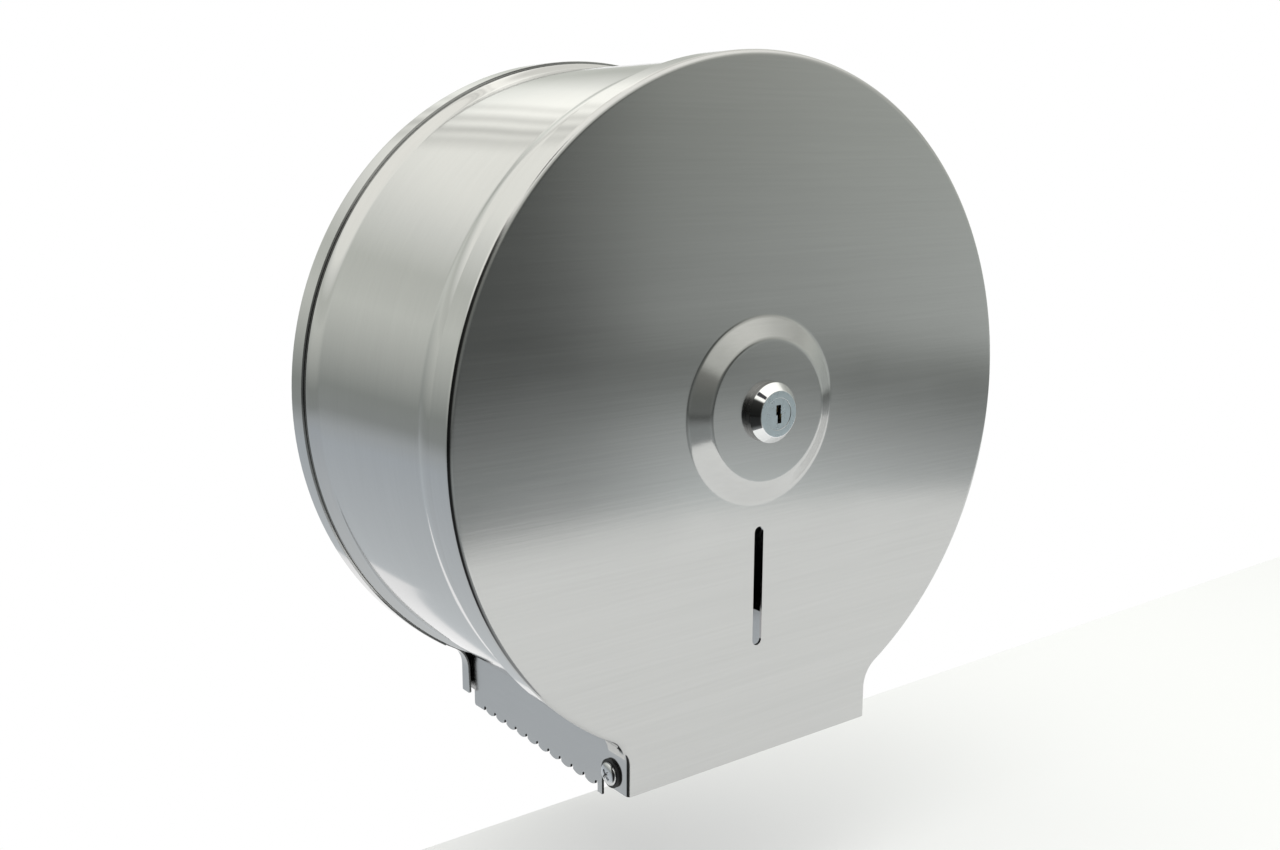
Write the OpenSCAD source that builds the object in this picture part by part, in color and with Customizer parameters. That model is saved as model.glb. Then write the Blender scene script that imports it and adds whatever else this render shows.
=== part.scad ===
// Jumbo toilet roll dispenser for a wall: a round stainless drum with a hinged, locked front lid.
// X is to the right, +Y points into the wall and +Z is up, all in millimetres.
// The origin is the middle of the four wall holes, on the wall.
// Pieces are drawn by their distance from the wall, which grows towards the front, along -Y.

/* [Drum] */
// Radius of the front lid
lid_r = 133; // [120:1:170]
// Radius of the back plate
back_r = 134; // [120:1:171]
// Distance from the wall to the lid's flat front
drum_depth = 128; // [100:1:160]
// Depth of the lid's and the back plate's rims
rim_depth = 12.5; // [8:0.5:16]
// Thickness of the sheet steel
sheet = 1; // [0.8:0.1:1.2]
// Space between the drum band's beads and the lid's rim
band_gap = 0.6; // [0.5:0.1:1.5]
// Height of the beads rolled into the band
bead_h = 0.8; // [0.4:0.1:1.2]
// Width of each bead
bead_w = 11; // [6:0.5:14]

/* [Foot] */
// Half the foot's width
foot_half_w = 62; // [50:1:76]
// Distance from the drum's centre down to the foot's bottom edge
foot_drop = 137.5; // [134:0.5:190]
// Radius of the hollow corner where the foot meets the drum
foot_fillet = 12; // [8:1:16]
// Radius of the lid's two bottom corners
foot_corner = 4.5; // [2:0.5:6]
// Depth of the back plate's rim along the foot
back_foot_rim = 8; // [5:0.5:12]

/* [Tear plates] */
// Space between a tear plate and the rims beside it
plate_gap = 1.2; // [1.1:0.1:2]
// How far the tear plates reach below the foot
teeth_drop = 5.8; // [4:0.2:8]
// Distance from one notch to the next
tooth_pitch = 8.52; // [6:0.1:11]
// Number of notches in a tear plate
notch_count = 11; // [6:1:11]
// Distance from the wall to the first notch
first_notch = 18.75; // [16:0.25:22]
// Depth of the rounded teeth
tooth_h = 1.7; // [1:0.1:2.4]
// Radius of the notches between the teeth
notch_r = 0.9; // [0.6:0.1:1.1]

/* [Hinge] */
// Distance from the lid's flat front back to the hinge axis
pivot_back = 10.5; // [9:0.5:12]
// Height of the hinge axis above the foot's bottom edge
pivot_up = 6; // [5.5:0.5:8]
// Radius of the hinge screws' shanks
pivot_r = 2.5; // [2:0.1:3]
// Radial clearance of the lid on the hinge screws
pivot_clear = 0.06; // [0.03:0.01:0.1]

/* [Roll spindle] */
// Height of the spindle's and the lock's axis above the drum's centre
spindle_up = 2; // [-5:0.5:8]
// Outer radius of the spindle tube
spindle_r = 19; // [18:0.5:24]
// Wall of the spindle tube
spindle_wall = 1.5; // [1:0.1:2]
// Radial clearance of the sleeve on the spindle
sleeve_clear = 0.05; // [0.03:0.01:0.1]
// Wall of the turning sleeve that carries the roll's core
sleeve_wall = 3.45; // [2.5:0.05:5]
// Radius of the collar at the sleeve's rear end
collar_r = 30; // [26:0.5:32]

/* [Lock] */
// Radius of the raised boss where it meets the lid
boss_r = 36; // [30:0.5:45]
// Radius of the boss's flat top
boss_top_r = 27.5; // [20:0.5:30]
// Height of the boss
boss_h = 4; // [2:0.5:6]
// Radius of the lock's visible flange
bezel_r = 11.5; // [10:0.25:13]
// How far the lock stands out of the boss
bezel_h = 5.5; // [4:0.5:7]
// Radius of the threaded barrel
barrel_r = 9.5; // [9:0.1:9.8]
// Length of the barrel behind the flange
barrel_len = 14.5; // [13:0.5:18]
// Radius of the turning plug
plug_r = 6; // [5:0.1:6.5]
// Radial clearance of the plug in the barrel
plug_clear = 0.05; // [0.03:0.01:0.1]
// Reach of the cam from the lock's axis
cam_reach = 15.5; // [12:0.5:16]
// Width of the cam
cam_w = 9; // [8:0.5:10]
// Space round the cam where it passes the strike plate
cam_clear = 0.8; // [0.5:0.1:1.2]

/* [Sight slot] */
// Width of the slot that shows how much paper is left
slot_w = 4.5; // [3:0.5:8]
// Length of the slot from end to end
slot_len = 48; // [30:1:52]
// Distance from the drum's centre down to the slot's top end
slot_drop = 43.5; // [42:0.5:52]

/* [Wall fixing] */
// Distance between the wall holes, across and up
hole_pitch = 120; // [90:1:130]
// Radius of the wall holes
hole_r = 3; // [2:0.25:4]

/* [Hidden] */
$fn = 96;

// A cut runs this far past the faces that it goes through
over = 1;
// Face clearance between a turning piece and the piece beside it
face_gap = 0.1;

// Drum
lid_inner = drum_depth - sheet;
lid_rim_back = drum_depth - rim_depth;
band_r = lid_r - sheet - band_gap - bead_h;
band_tuck = 9;
band_end = drum_depth - band_tuck;
bead_slope = 2;
shoulder_h = back_r - sheet - band_gap - band_r;
shoulder_end = rim_depth + bead_w;
shoulder_slope = 5;
bead_from_lid = 1;
front_bead_start = lid_rim_back - bead_w - bead_from_lid;

// Tear plates: the outer face stands plate_gap inside the rims
plate_x = foot_half_w - sheet - plate_gap;
plate_overlap = 6;
plate_top = sqrt(pow(band_r - sheet, 2) - pow(plate_x, 2)) - plate_overlap;
teeth_tip = foot_drop + teeth_drop;
plate_rear_step = 9.6;
plate_rear_up = 1.5;
tab_shift = 0.4;
tab_start = first_notch + (notch_count - 1) * tooth_pitch + tab_shift;
tab_w = 3.5;
tab_past_teeth = 1.7;
tab_drop = teeth_tip + tab_past_teeth;
ear_r = pivot_up;
ear_top = 6;
notch_rise = 2;
notch_up = foot_drop - notch_rise;
rear_tab_w = 14;
rear_tab_h = 28;
foot_rim_rise = 4;
rivet_r = 2;
rivet_head_r = 3.4;
rivet_head_h = 0.8;
rivet_inset = 7;
tab_rivet_drops = [6, 20];

// Hinge
pivot_dist = drum_depth - pivot_back;
pivot_z = pivot_up - foot_drop;
screw_clear = 0.05;
washer_h = 0.8;
washer_r = 5.6;
spacer_r = 5;
nut_h = 4;
nut_across = 8;
nut_clear = 0.02;
screw_head_r = 4.7;
screw_head_h = 3;
screw_end = 1;
recess_w = 1;
recess_len = 5.4;
recess_depth = 1.7;

// Lock, from the front of the boss backwards
boss_face = drum_depth + boss_h;
barrel_back = boss_face - barrel_len;
bezel_edge_h = 2.4;
bezel_face_r = 8.7;
plug_sink = 0.3;
stop_washer_h = 1;
stop_washer_gap = 0.2;
stop_washer_back = barrel_back - stop_washer_gap - stop_washer_h;
tail_r = 4.2;
cam_space = 2.4;
cam_h = 2;
cam_front = stop_washer_back - cam_space;
cam_back = cam_front - cam_h;
cam_square = 5.5;
cam_screw_head_r = 4.4;
cam_screw_head_h = 2.6;
cam_screw_r = 2;
cam_screw_len = 9;
lock_washer_h = 0.6;
lock_nut_h = 3;
lock_nut_across = 25;
barrel_clear = 0.1;
key_w = 2.2;
key_h = 7.4;
key_depth = 15;
wafer_count = 4;
wafer_h = 0.8;
wafer_w = 4.6;
wafer_pitch = 2.6;
wafer_first = 5;
wafer_slack = 0.1;
wafer_reach = plug_r - 0.6;

// Roll spindle, from the back plate forwards
flange_r = 34;
flange_h = 1.5;
flange_rivet_r = 29;
flange_front = sheet + flange_h;
strike_gap = 0.6;
strike_h = 1;
strike_back = cam_front + strike_gap;
thrust_h = 1.5;
thrust_r = flange_rivet_r - rivet_head_r - 0.6;
sleeve_gap = 0.3;
collar_h = 2.5;
sleeve_start = flange_front + thrust_h + sleeve_gap;
ring_h = 1.2;
ring_stand = 2.2;
ring_sink = 0.6;
ring_clear = 0.05;
ring_mouth = 4;
ring_inset = 9;
ring_back = strike_back - ring_inset;
sleeve_end = ring_back - sleeve_gap;
sleeve_r = spindle_r + sleeve_clear + sleeve_wall;
sleeve_groove_h = 0.8;
sleeve_groove_w = 3;
sleeve_groove_len = 22;
sleeve_groove_count = 6;

// Colours
steel = [0.72, 0.72, 0.7];
bright = [0.85, 0.86, 0.88];
black = [0.12, 0.12, 0.13];
grey = [0.62, 0.63, 0.64];

// Draws what is inside with its flat base at a distance from the wall and its height towards the front
module from_wall(distance = 0) {
    rotate([90, 0, 0]) translate([0, 0, distance]) children();
}

// The same, centred on the axis that the spindle and the lock share
module on_axis(distance = 0) {
    translate([0, 0, spindle_up]) from_wall(distance) children();
}

// Places a flat shape, drawn by distance from the wall and height, as a sheet whose outer face is at x
module side_sheet(x, thickness) {
    translate([x, 0, 0]) rotate([90, 0, -90]) linear_extrude(thickness) children();
}

// Draws what is inside along +X on the hinge axis, from the given x outwards
module on_pivot(x) {
    translate([x, -pivot_dist, pivot_z]) rotate([0, 90, 0]) children();
}

// Makes the left-hand twin of a piece that is drawn on the right
module left_twin() {
    mirror([1, 0, 0]) children();
}

// A flat ring
module ring(outer, inner, height) {
    difference() {
        cylinder(r = outer, h = height);
        translate([0, 0, -over]) cylinder(r = inner, h = height + 2 * over);
    }
}

// Outline of the drum and its foot, drawn in by inset, down to the given bottom edge
module drum_outline(r, inset, bottom) {
    fillet_x = foot_half_w + foot_fillet;
    fillet_z = -sqrt(pow(r + foot_fillet, 2) - pow(fillet_x, 2));
    share = (r - inset) / (r + foot_fillet);
    touch_x = fillet_x * share;
    touch_z = fillet_z * share;
    circle(r - inset);
    difference() {
        translate([-touch_x, -bottom]) square([2 * touch_x, bottom + touch_z]);
        for (side = [-1, 1]) {
            translate([side * fillet_x, fillet_z]) circle(foot_fillet + inset);
            translate([side * (foot_half_w - inset + fillet_x) - fillet_x, -bottom - over])
                square([2 * fillet_x, bottom + over + fillet_z]);
        }
    }
}

// Takes the sharp bottom corners off the lid's outline
module round_foot_corners() {
    difference() {
        children();
        for (side = [-1, 1])
            translate([side * foot_half_w, -foot_drop]) difference() {
                square(2 * foot_corner, center = true);
                translate([-side * foot_corner, foot_corner]) circle(foot_corner);
            }
    }
}

// A rim that follows the outline from one distance to another, open along the bottom
module rim(r, start, end) {
    from_wall(start) linear_extrude(end - start) difference() {
        drum_outline(r, 0, foot_drop);
        drum_outline(r, sheet, foot_drop + over);
    }
}

// A round rivet from the wall side, flush there, with its head on the front
module rivet(length) {
    cylinder(r = rivet_r, h = length);
    translate([0, 0, length])
        cylinder(r1 = rivet_head_r, r2 = rivet_head_r - rivet_head_h, h = rivet_head_h);
}

module wall_holes() {
    for (x = [-1, 1], z = [-1, 1])
        translate([x * hole_pitch / 2, 0, z * hole_pitch / 2])
            from_wall(-over) cylinder(r = hole_r, h = sheet + 2 * over);
}

module at_flange_rivets() {
    for (turn = [45:90:315])
        on_axis() rotate(turn) translate([flange_rivet_r, 0, 0]) children();
}

module at_tab_rivets() {
    for (side = [-1, 1], drop = tab_rivet_drops)
        translate([side * (plate_x - rivet_inset), 0, -plate_top - drop]) from_wall() children();
}

module rivet_hole(height) {
    translate([0, 0, -over]) cylinder(r = rivet_r, h = height + 2 * over);
}

// Back plate: a shallow pan with its rim towards the front, screwed to the wall
module back_plate() {
    color(steel) difference() {
        union() {
            from_wall() linear_extrude(sheet) drum_outline(back_r, 0, foot_drop);
            difference() {
                rim(back_r, sheet, rim_depth);
                // along the foot the rim is shallower
                translate([0, 0, -foot_drop - over]) from_wall(back_foot_rim)
                    linear_extrude(rim_depth)
                        translate([-2 * foot_half_w, 0])
                            square([4 * foot_half_w, foot_drop + over - plate_top - foot_rim_rise]);
            }
        }
        wall_holes();
        at_flange_rivets() rivet_hole(sheet);
        at_tab_rivets() rivet_hole(sheet);
    }
}

// Drum band: one strip rolled into the drum's side, wider behind under the back plate's rim,
// with a bead near its front end
module drum_band() {
    profile = [
        [shoulder_h, sheet],
        [shoulder_h, shoulder_end - shoulder_slope],
        [0, shoulder_end],
        [0, front_bead_start],
        [bead_h, front_bead_start + bead_slope],
        [bead_h, front_bead_start + bead_w - bead_slope],
        [0, front_bead_start + bead_w],
        [0, band_end]
    ];
    outer = [for (p = profile) [band_r + p[0], p[1]]];
    inner = [for (i = [len(profile) - 1:-1:0]) [band_r - sheet + profile[i][0], profile[i][1]]];
    color(steel) difference() {
        from_wall() rotate_extrude() polygon(concat(outer, inner));
        // the strip ends on the outer faces of the tear plates
        from_wall(-over) translate([-plate_x, -lid_r - over])
            cube([2 * plate_x, lid_r + over, drum_depth + 2 * over]);
    }
}

// Rounded teeth along the bottom edge, with a small notch between each two
module teeth() {
    lobe_r = (pow(tooth_pitch / 2, 2) + pow(tooth_h, 2)) / (2 * tooth_h);
    last_notch = first_notch + (notch_count - 1) * tooth_pitch;
    difference() {
        union() {
            translate([plate_rear_step, -teeth_tip + tooth_h])
                square([last_notch - plate_rear_step, teeth_tip - tooth_h - plate_top]);
            translate([plate_rear_step, -teeth_tip + tooth_h / 2])
                square([first_notch - plate_rear_step, tooth_h]);
            for (i = [0:notch_count - 2]) intersection() {
                translate([first_notch + (i + 0.5) * tooth_pitch, -teeth_tip + lobe_r]) circle(lobe_r);
                translate([first_notch + i * tooth_pitch, -teeth_tip - over])
                    square([tooth_pitch, tooth_h + 2 * over]);
            }
        }
        for (i = [0:notch_count - 1])
            translate([first_notch + i * tooth_pitch, -teeth_tip + tooth_h]) circle(notch_r);
    }
}

// Tear plate: hangs beside the paper's way out, with teeth below, a hinge ear in front
// and a tab bent inwards behind, riveted to the back plate
module tear_plate() {
    difference() {
        union() {
            side_sheet(plate_x, sheet) {
                teeth();
                // upper part, which also passes behind the back plate's rim
                translate([sheet, -foot_drop + plate_rear_up])
                    square([pivot_dist - sheet, foot_drop - plate_rear_up - plate_top]);
                // longer tab in front of the teeth
                translate([tab_start, -tab_drop]) square([tab_w, tab_drop - plate_top]);
                // ear round the hinge screw
                translate([pivot_dist, pivot_z]) circle(ear_r);
                translate([pivot_dist, pivot_z]) square([ear_r, -plate_top - ear_top - pivot_z]);
            }
            // bent tab against the back plate
            from_wall(sheet) translate([plate_x - rear_tab_w, -plate_top - rear_tab_h])
                cube([rear_tab_w - sheet, rear_tab_h, sheet]);
        }
        // dark notch between the tab and the ear, which the lid's bottom edge swings into
        side_sheet(plate_x + over, sheet + 2 * over)
            translate([tab_start + tab_w, -foot_drop - over])
                square([pivot_dist - ear_r / 2 - tab_start - tab_w, foot_drop + over - notch_up]);
        on_pivot(plate_x - sheet - over)
            cylinder(r = pivot_r + screw_clear, h = sheet + 2 * over);
        at_tab_rivets() rivet_hole(2 * sheet);
    }
}

module right_tear_plate() {
    color(steel) tear_plate();
}

module left_tear_plate() {
    color(steel) left_twin() tear_plate();
}

// Four rivets that hold the tear plates to the back plate
module tear_plate_rivets() {
    color(bright) at_tab_rivets() rivet(2 * sheet);
}

// Spindle flange: the disc that carries the spindle tube
module spindle_flange() {
    color(steel) difference() {
        on_axis(sheet) cylinder(r = flange_r, h = flange_h);
        at_flange_rivets() rivet_hole(sheet + flange_h);
    }
}

// Four rivets through the flange and the back plate
module spindle_rivets() {
    color(bright) at_flange_rivets() rivet(sheet + flange_h);
}

// Spindle tube, with a groove for the ring that keeps the sleeve on
module spindle_tube() {
    color(steel) on_axis() difference() {
        translate([0, 0, flange_front]) cylinder(r = spindle_r, h = strike_back - flange_front);
        translate([0, 0, flange_front - over])
            cylinder(r = spindle_r - spindle_wall, h = strike_back - flange_front + 2 * over);
        translate([0, 0, ring_back]) ring(spindle_r + over, spindle_r - ring_sink, ring_h);
    }
}

// Strike plate: closes the tube's front, with a slot that only lets the cam through when it points down
module strike_plate() {
    color(steel) on_axis(strike_back) difference() {
        cylinder(r = spindle_r, h = strike_h);
        translate([0, 0, -over]) linear_extrude(strike_h + 2 * over)
            cam_shape(cam_clear);
    }
}

// Outline of the cam: a bar with round ends that hangs from the lock's axis, grown by a margin
module cam_shape(margin) {
    half = cam_w / 2;
    circle(half + margin);
    translate([0, half - cam_reach]) circle(half + margin);
    translate([-half - margin, half - cam_reach])
        square([2 * (half + margin), cam_reach - half]);
}

// Plastic washer that the sleeve's collar runs on
module thrust_washer() {
    color(black) on_axis(flange_front) ring(thrust_r, spindle_r + sleeve_clear, thrust_h);
}

// Spring ring in the tube's groove
module sleeve_ring() {
    color(bright) on_axis(ring_back) difference() {
        translate([0, 0, ring_clear])
            ring(spindle_r + ring_stand, spindle_r - ring_sink + ring_clear, ring_h - 2 * ring_clear);
        translate([-ring_mouth / 2, 0, -over])
            cube([ring_mouth, spindle_r + ring_stand + over, ring_h + 2 * over]);
    }
}

// Turning sleeve that fits the roll's core, with a collar behind and shallow grooves at its front end
module core_sleeve() {
    color(grey) on_axis() difference() {
        union() {
            translate([0, 0, sleeve_start]) cylinder(r = collar_r, h = collar_h);
            translate([0, 0, sleeve_start]) cylinder(r = sleeve_r, h = sleeve_end - sleeve_start);
        }
        translate([0, 0, sleeve_start - over])
            cylinder(r = spindle_r + sleeve_clear, h = sleeve_end - sleeve_start + 2 * over);
        for (i = [0:sleeve_groove_count - 1]) rotate(i * 360 / sleeve_groove_count)
            translate([sleeve_r - sleeve_groove_h, -sleeve_groove_w / 2, sleeve_end - sleeve_groove_len])
                cube([sleeve_r, sleeve_groove_w, sleeve_groove_len + over]);
    }
}

// Hinge screw with a rounded pan head and a cross recess
module pivot_screw() {
    shank_start = plate_x - sheet - nut_h - screw_end;
    head_start = foot_half_w + face_gap + washer_h;
    color(bright) on_pivot(0) difference() {
        union() {
            translate([0, 0, shank_start]) cylinder(r = pivot_r, h = head_start - shank_start);
            translate([0, 0, head_start]) cylinder(r = screw_head_r, h = screw_head_h * 0.4);
            translate([0, 0, head_start + screw_head_h * 0.4])
                cylinder(r1 = screw_head_r, r2 = screw_head_r * 0.72, h = screw_head_h * 0.6);
        }
        for (turn = [45, 135]) rotate(turn)
            translate([-recess_len / 2, -recess_w / 2, head_start + screw_head_h - recess_depth])
                cube([recess_len, recess_w, recess_depth + over]);
    }
}

module pivot_nut() {
    color(bright) on_pivot(plate_x - sheet - nut_h) difference() {
        cylinder(r = nut_across / sqrt(3), h = nut_h, $fn = 6);
        translate([0, 0, -over]) cylinder(r = pivot_r + nut_clear, h = nut_h + 2 * over);
    }
}

// Plastic spacer that keeps the lid's side off the tear plate
module pivot_spacer() {
    color(black) on_pivot(plate_x + face_gap)
        ring(spacer_r, pivot_r + screw_clear, plate_gap - 2 * face_gap);
}

// Black plastic washer under the screw's head
module pivot_washer() {
    color(black) on_pivot(foot_half_w + face_gap) ring(washer_r, pivot_r + screw_clear, washer_h);
}

module right_pivot_screw() { pivot_screw(); }
module left_pivot_screw() { left_twin() pivot_screw(); }
module right_pivot_nut() { pivot_nut(); }
module left_pivot_nut() { left_twin() pivot_nut(); }
module right_pivot_spacer() { pivot_spacer(); }
module left_pivot_spacer() { left_twin() pivot_spacer(); }
module right_pivot_washer() { pivot_washer(); }
module left_pivot_washer() { left_twin() pivot_washer(); }

// Front lid: a flat sheet with a rim, a pressed boss for the lock and a sight slot
module front_lid() {
    slot_half = slot_w / 2;
    color(steel) difference() {
        union() {
            from_wall(lid_inner) linear_extrude(sheet)
                round_foot_corners() drum_outline(lid_r, 0, foot_drop);
            rim(lid_r, lid_rim_back, lid_inner);
            on_axis() rotate_extrude() polygon([
                [0, lid_inner], [boss_r, lid_inner], [boss_r, drum_depth],
                [boss_top_r, boss_face], [0, boss_face]
            ]);
        }
        // hollow behind the boss
        on_axis() rotate_extrude() polygon([
            [0, lid_inner - over], [boss_r, lid_inner - over], [boss_r, lid_inner],
            [boss_top_r, boss_face - sheet], [0, boss_face - sheet]
        ]);
        on_axis(lid_inner) cylinder(r = barrel_r + barrel_clear, h = boss_h + sheet + over);
        // sight slot with round ends
        from_wall(lid_inner - over) linear_extrude(sheet + 2 * over) {
            for (end = [slot_drop + slot_half, slot_drop + slot_len - slot_half])
                translate([0, -end]) circle(slot_half);
            translate([-slot_half, -slot_drop - slot_len + slot_half])
                square([slot_w, slot_len - slot_w]);
        }
        on_pivot(-foot_half_w - over)
            cylinder(r = pivot_r + pivot_clear, h = 2 * foot_half_w + 2 * over);
    }
}

// Lock barrel: flange with a bevel in front, round body behind, bored for the plug
module lock_barrel() {
    color(bright) on_axis() difference() {
        union() {
            translate([0, 0, barrel_back]) cylinder(r = barrel_r, h = barrel_len);
            translate([0, 0, boss_face]) cylinder(r = bezel_r, h = bezel_edge_h);
            translate([0, 0, boss_face + bezel_edge_h])
                cylinder(r1 = bezel_r, r2 = bezel_face_r, h = bezel_h - bezel_edge_h);
        }
        translate([0, 0, barrel_back - over])
            cylinder(r = plug_r + plug_clear, h = barrel_len + bezel_h + 2 * over);
    }
}

module lock_washer() {
    color(bright) on_axis(boss_face - sheet - lock_washer_h)
        ring(lock_nut_across / 2, barrel_r + barrel_clear, lock_washer_h);
}

module lock_nut() {
    color(bright) on_axis(boss_face - sheet - lock_washer_h - lock_nut_h) difference() {
        cylinder(r = lock_nut_across / sqrt(3), h = lock_nut_h, $fn = 6);
        translate([0, 0, -over]) cylinder(r = barrel_r, h = lock_nut_h + 2 * over);
    }
}

// A stack of flat slots or wafers across the plug, each of the given size
module wafer_stack(width, height, thickness) {
    for (i = [0:wafer_count - 1])
        translate([-width / 2, -height / 2, boss_face + bezel_h - wafer_first - i * wafer_pitch - thickness / 2])
            cube([width, height, thickness]);
}

// Lock plug: turns in the barrel, with a keyway, wafer slots, a round tail and a square for the cam
module lock_plug() {
    front = boss_face + bezel_h - plug_sink;
    back = barrel_back - stop_washer_gap;
    color(bright) on_axis() difference() {
        union() {
            translate([0, 0, back]) cylinder(r = plug_r, h = front - back);
            translate([0, 0, cam_front]) cylinder(r = tail_r, h = back - cam_front);
            translate([-cam_square / 2, -cam_square / 2, cam_back])
                cube([cam_square, cam_square, cam_h]);
        }
        translate([-key_w / 2, -key_h / 2, front - key_depth])
            cube([key_w, key_h, key_depth + over]);
        wafer_stack(wafer_w + wafer_slack, 2 * plug_r + over, wafer_h + wafer_slack);
        translate([0, 0, cam_back - over]) cylinder(r = cam_screw_r, h = cam_screw_len);
    }
}

// Wafers that the key lines up, each with a window for the key
module lock_wafers() {
    color(bright) on_axis() difference() {
        wafer_stack(wafer_w, 2 * wafer_reach, wafer_h);
        translate([-key_w / 2, -key_h / 2, barrel_back])
            cube([key_w, key_h, barrel_len + bezel_h]);
    }
}

// Stop washer behind the barrel
module stop_washer() {
    color(bright) on_axis(stop_washer_back) ring(barrel_r - 0.5, tail_r, stop_washer_h);
}

// Cam on the plug's square, which points down when the lock is open
module lock_cam() {
    color(bright) on_axis(cam_back) difference() {
        linear_extrude(cam_h) cam_shape(0);
        translate([-cam_square / 2, -cam_square / 2, -over])
            cube([cam_square, cam_square, cam_h + 2 * over]);
    }
}

// Screw that holds the cam on the plug
module cam_screw() {
    color(bright) on_axis() difference() {
        union() {
            translate([0, 0, cam_back - cam_screw_head_h])
                cylinder(r = cam_screw_head_r, h = cam_screw_head_h);
            translate([0, 0, cam_back]) cylinder(r = cam_screw_r, h = cam_screw_len - 2 * over);
        }
        translate([-cam_screw_head_r - over, -recess_w / 2, cam_back - cam_screw_head_h - over])
            cube([2 * (cam_screw_head_r + over), recess_w, over + recess_w]);
    }
}

back_plate();
drum_band();
left_tear_plate();
right_tear_plate();
tear_plate_rivets();
spindle_flange();
spindle_tube();
spindle_rivets();
strike_plate();
thrust_washer();
sleeve_ring();
core_sleeve();
left_pivot_screw();
right_pivot_screw();
left_pivot_nut();
right_pivot_nut();
left_pivot_spacer();
right_pivot_spacer();
left_pivot_washer();
right_pivot_washer();
front_lid();
lock_barrel();
lock_washer();
lock_nut();
lock_plug();
lock_wafers();
stop_washer();
lock_cam();
cam_screw();
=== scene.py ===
"""A jumbo toilet roll dispenser in brushed stainless steel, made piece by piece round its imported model."""
import math

import bmesh
import bpy
from mathutils import Matrix, Vector


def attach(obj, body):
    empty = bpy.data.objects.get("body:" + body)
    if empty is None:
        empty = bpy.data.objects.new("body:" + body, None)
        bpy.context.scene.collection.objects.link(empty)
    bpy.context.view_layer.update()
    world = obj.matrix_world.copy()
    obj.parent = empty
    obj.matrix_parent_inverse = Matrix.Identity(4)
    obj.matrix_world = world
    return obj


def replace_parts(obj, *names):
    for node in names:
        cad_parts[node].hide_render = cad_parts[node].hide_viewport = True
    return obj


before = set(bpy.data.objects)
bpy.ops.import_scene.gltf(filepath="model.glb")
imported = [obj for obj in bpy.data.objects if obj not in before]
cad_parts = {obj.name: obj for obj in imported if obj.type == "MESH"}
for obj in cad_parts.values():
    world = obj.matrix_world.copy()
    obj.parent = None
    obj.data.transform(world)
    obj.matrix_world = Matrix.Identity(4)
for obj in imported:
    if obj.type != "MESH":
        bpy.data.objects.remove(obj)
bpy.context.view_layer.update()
scene = bpy.context.scene
MM = 0.001


# ---------------------------------------------------------------- Camera, floor and light
# The dispenser hangs from its wall holes, seen from its front left and a little above, as in a
# product picture. It floats over a small pale table in a white studio. Grey screens with bright
# tops stand round it outside the picture, and the steel mirrors them.
CAMERA_PLACE = (-0.3279, -0.4939, 0.0995)
CAMERA_AZIMUTH = -36.52
CAMERA_ELEVATION = 11.93
CAMERA_ROLL = 0.14
PICTURE_WIDTH = 1280
FOCAL_PIXELS = 1326.3
SENSOR_WIDTH = 36.0
TABLE_HEIGHT = -0.21
TABLE_RADIUS = 0.645
TABLE_MIDDLE = 0.25
TABLE_LEFT = -0.12
TABLE_STEPS = 48
TABLE_GLOW = 0.45
TABLE_PALE = (0.42, 0.43, 0.43)
SCREEN_RADIUS = 3.0
GAP_HALF_W, GAP_HALF_H = 0.53, 0.37
PANEL_PLACE = (-0.33, -0.46, 0.825)
PANEL_INSIDE, PANEL_OUTSIDE = 0.11, 0.14
PANEL_TONE = (0.06, 0.06, 0.065, 1)


def new_material(name):
    """A material without any nodes yet."""
    material = bpy.data.materials.new(name)
    material.use_nodes = True
    material.node_tree.nodes.clear()
    return material


def add_node(tree, kind, **settings):
    """Adds a node. Keys that start with in_ set its sockets, and the others its properties."""
    made = tree.nodes.new(kind)
    for key, value in settings.items():
        if key.startswith("in_"):
            name = key[3:].replace("_", " ")
            made.inputs[int(name) if name.isdigit() else name].default_value = value
        else:
            setattr(made, key, value)
    return made


def add_object(name, bm):
    """Makes an object of a finished bmesh."""
    mesh = bpy.data.meshes.new(name)
    bm.to_mesh(mesh)
    bm.free()
    made = bpy.data.objects.new(name, mesh)
    scene.collection.objects.link(made)
    return made


camera_data = bpy.data.cameras.new("camera")
camera_data.sensor_width = SENSOR_WIDTH
camera_data.lens = FOCAL_PIXELS / PICTURE_WIDTH * SENSOR_WIDTH
camera_data.clip_start = 0.01
camera = bpy.data.objects.new("camera", camera_data)
scene.collection.objects.link(camera)
camera.matrix_world = (
    Matrix.Translation(CAMERA_PLACE)
    @ Matrix.Rotation(math.radians(CAMERA_AZIMUTH), 4, "Z")
    @ Matrix.Rotation(math.radians(90 - CAMERA_ELEVATION), 4, "X")
    @ Matrix.Rotation(math.radians(CAMERA_ROLL), 4, "Z")
)
scene.camera = camera
scene.view_settings.view_transform = "Standard"

# The table is round in front, and cut straight on the left and along the wall
table_bm = bmesh.new()
first_turn = math.asin((TABLE_LEFT - TABLE_MIDDLE) / TABLE_RADIUS)
table_edge = [(TABLE_LEFT, 0)]
for step in range(TABLE_STEPS + 1):
    turn = first_turn + (math.pi / 2 - first_turn) * step / TABLE_STEPS
    table_edge.append((TABLE_MIDDLE + TABLE_RADIUS * math.sin(turn), -TABLE_RADIUS * math.cos(turn)))
table_bm.faces.new([table_bm.verts.new((x, y, TABLE_HEIGHT)) for x, y in table_edge])
table = add_object("table", table_bm)

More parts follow.
